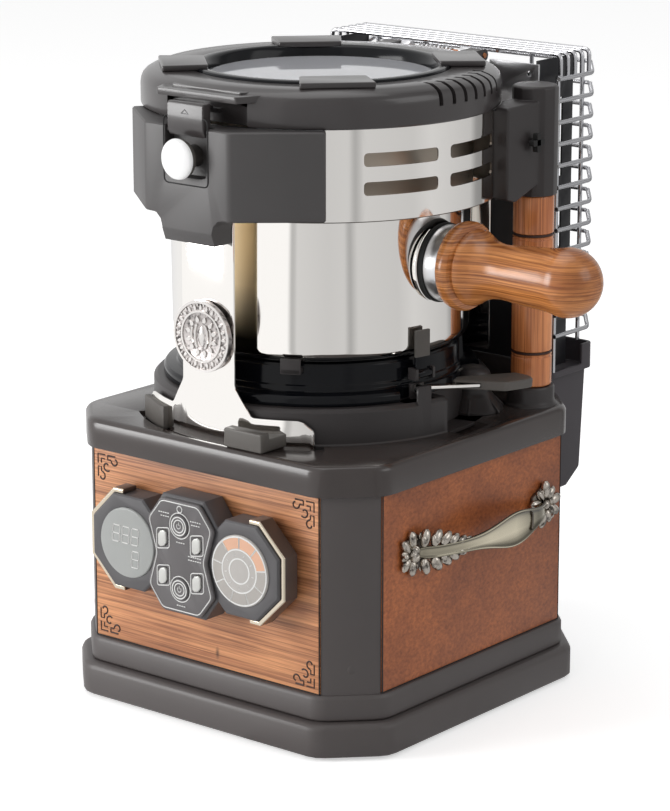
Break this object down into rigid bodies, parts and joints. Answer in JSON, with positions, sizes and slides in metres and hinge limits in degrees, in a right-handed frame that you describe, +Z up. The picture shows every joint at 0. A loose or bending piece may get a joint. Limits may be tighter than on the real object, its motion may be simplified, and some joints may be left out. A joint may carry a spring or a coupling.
{
  "type": "electric coffee roaster",
  "caption": "Electric coffee roaster with a wood-panelled base, a removable steel roasting pot with a wooden handle, a hinged lid with a glass, and a wire-guarded chaff box behind.",
  "frame": {"origin": "the middle of the base on the surface it stands on", "axes": "+Z is up, -Y is the front with the control panel, +X is the side of the pot handle"},
  "size_m": [0.3808, 0.3379, 0.4418],
  "materials": {
    "base_plastic": "moulded warm dark grey",
    "black_plastic": "moulded black",
    "grey_plastic": "moulded dark grey",
    "front_wood": "satin varnish, straight grain",
    "side_wood": "satin varnish, straight grain",
    "turned_wood": "turned and varnished",
    "polished_steel": "mirror polished sheet",
    "brushed_steel": "plain steel",
    "pewter": "aged pewter plating",
    "champagne": "polished pale gold",
    "white_key": "smooth silvery white",
    "display": "glossy dark window",
    "clear_glass": "clear",
    "black_sheet": "satin black paint",
    "copper": "plain copper",
    "board_green": "solder mask"
  },
  "bodies": {
    "frame": {"bottom_plate": "black_plastic", "plinth": "base_plastic", "base_frame": "base_plastic", "panel_front": "front_wood", "panel_right": "side_wood", "panel_left": "side_wood", "panel_rear": "black_plastic", "power_inlet": "black_plastic", "deck": "base_plastic", "pull_right": "pewter", "pull_left": "pewter", "control_housing": "black_plastic", "control_plate": "grey_plastic", "rim_right": "champagne", "rim_left": "champagne", "control_board": "board_green", "display_window": "display", "dial_window": "display", "seat_ring": "black_plastic", "deck_clip_left": "grey_plastic", "deck_clip_right": "grey_plastic", "front_strip": "polished_steel", "badge": "pewter", "upper_sleeve": "polished_steel", "latch_housing": "grey_plastic", "hinge_rail": "brushed_steel", "hinge_pin": "copper", "rear_shroud": "black_sheet", "heat_shield": "polished_steel", "guard_right": "brushed_steel", "guard_left": "brushed_steel", "guard_back": "brushed_steel", "guard_top": "brushed_steel", "chaff_box": "base_plastic", "fan_motor": "brushed_steel", "heater": "copper", "column_right": "turned_wood", "column_left": "turned_wood", "column_bracket_right": "grey_plastic", "column_bracket_left": "grey_plastic", "valve_cap": "grey_plastic"},
    "lid": {"lid": "base_plastic", "lid_ring": "grey_plastic", "lid_glass": "clear_glass"},
    "latch_button": {"latch_button": "polished_steel"},
    "latch_catch": {"latch_catch": "base_plastic"},
    "release_lever": {"lever_arm": "brushed_steel", "lever_grip": "grey_plastic"},
    "pot_clip": {"pot_clip": "grey_plastic"},
    "pot": {"pot": "polished_steel", "pot_collar": "polished_steel", "pot_handle": "turned_wood"},
    "stirrer": {"stirrer": "brushed_steel"},
    "fan_impeller": {"fan_impeller": "black_plastic"},
    "key_power": {"key_power": "white_key"},
    "key_cool": {"key_cool": "white_key"},
    "key_upper_left": {"key_upper_left": "white_key"},
    "key_lower_left": {"key_lower_left": "white_key"},
    "key_upper_right": {"key_upper_right": "white_key"},
    "key_lower_right": {"key_lower_right": "white_key"}
  },
  "joints": [
    {"name": "lid_hinge", "type": "hinge", "parent": "frame", "child": "lid", "pos_m": [-0.004, 0.1285, 0.4305], "axis": [-1, 0, 0], "range_deg": [0, 90]},
    {"name": "latch_press", "type": "slide", "parent": "frame", "child": "latch_button", "axis": [0, 1, 0], "range_m": [0, 0.004], "stiffness_N_per_m": 500},
    {"name": "catch_hinge", "type": "hinge", "parent": "frame", "child": "latch_catch", "pos_m": [-0.004, -0.135, 0.4075], "axis": [1, 0, 0], "range_deg": [0, 8]},
    {"name": "lever_hinge", "type": "hinge", "parent": "frame", "child": "release_lever", "pos_m": [0.10273, -0.02661, 0.2301], "axis": [0.9323, -0.3616, 0], "range_deg": [0, 17]},
    {"name": "clip_hinge", "type": "hinge", "parent": "frame", "child": "pot_clip", "pos_m": [0.10085, -0.02133, 0.2407], "axis": [0.1994, 0.9799, 0], "range_deg": [0, 11.3]},
    {"name": "pot_turn", "type": "hinge", "parent": "frame", "child": "pot", "pos_m": [-0.004, 0, 0.2507], "axis": [0, 0, -1], "range_deg": [0, 15]},
    {"name": "stirrer_spin", "type": "hinge", "parent": "frame", "child": "stirrer", "pos_m": [-0.004, 0, 0.224], "axis": [0, 0, 1], "continuous": true},
    {"name": "fan_spin", "type": "hinge", "parent": "frame", "child": "fan_impeller", "pos_m": [-0.004, 0, 0.0676], "axis": [0, 0, 1], "continuous": true},
    {"name": "key_power_press", "type": "slide", "parent": "frame", "child": "key_power", "axis": [0, 1, 0], "range_m": [0, 0.001], "stiffness_N_per_m": 500},
    {"name": "key_cool_press", "type": "slide", "parent": "frame", "child": "key_cool", "axis": [0, 1, 0], "range_m": [0, 0.001], "stiffness_N_per_m": 500},
    {"name": "key_upper_left_press", "type": "slide", "parent": "frame", "child": "key_upper_left", "axis": [0, 1, 0], "range_m": [0, 0.001], "stiffness_N_per_m": 500},
    {"name": "key_lower_left_press", "type": "slide", "parent": "frame", "child": "key_lower_left", "axis": [0, 1, 0], "range_m": [0, 0.001], "stiffness_N_per_m": 500},
    {"name": "key_upper_right_press", "type": "slide", "parent": "frame", "child": "key_upper_right", "axis": [0, 1, 0], "range_m": [0, 0.001], "stiffness_N_per_m": 500},
    {"name": "key_lower_right_press", "type": "slide", "parent": "frame", "child": "key_lower_right", "axis": [0, 1, 0], "range_m": [0, 0.001], "stiffness_N_per_m": 500}
  ],
  "couplings": [
    {"joint": "catch_hinge", "follows": "latch_press", "rad_per_m": 34},
    {"joint": "clip_hinge", "follows": "lever_hinge", "ratio": 0.66}
  ]
}
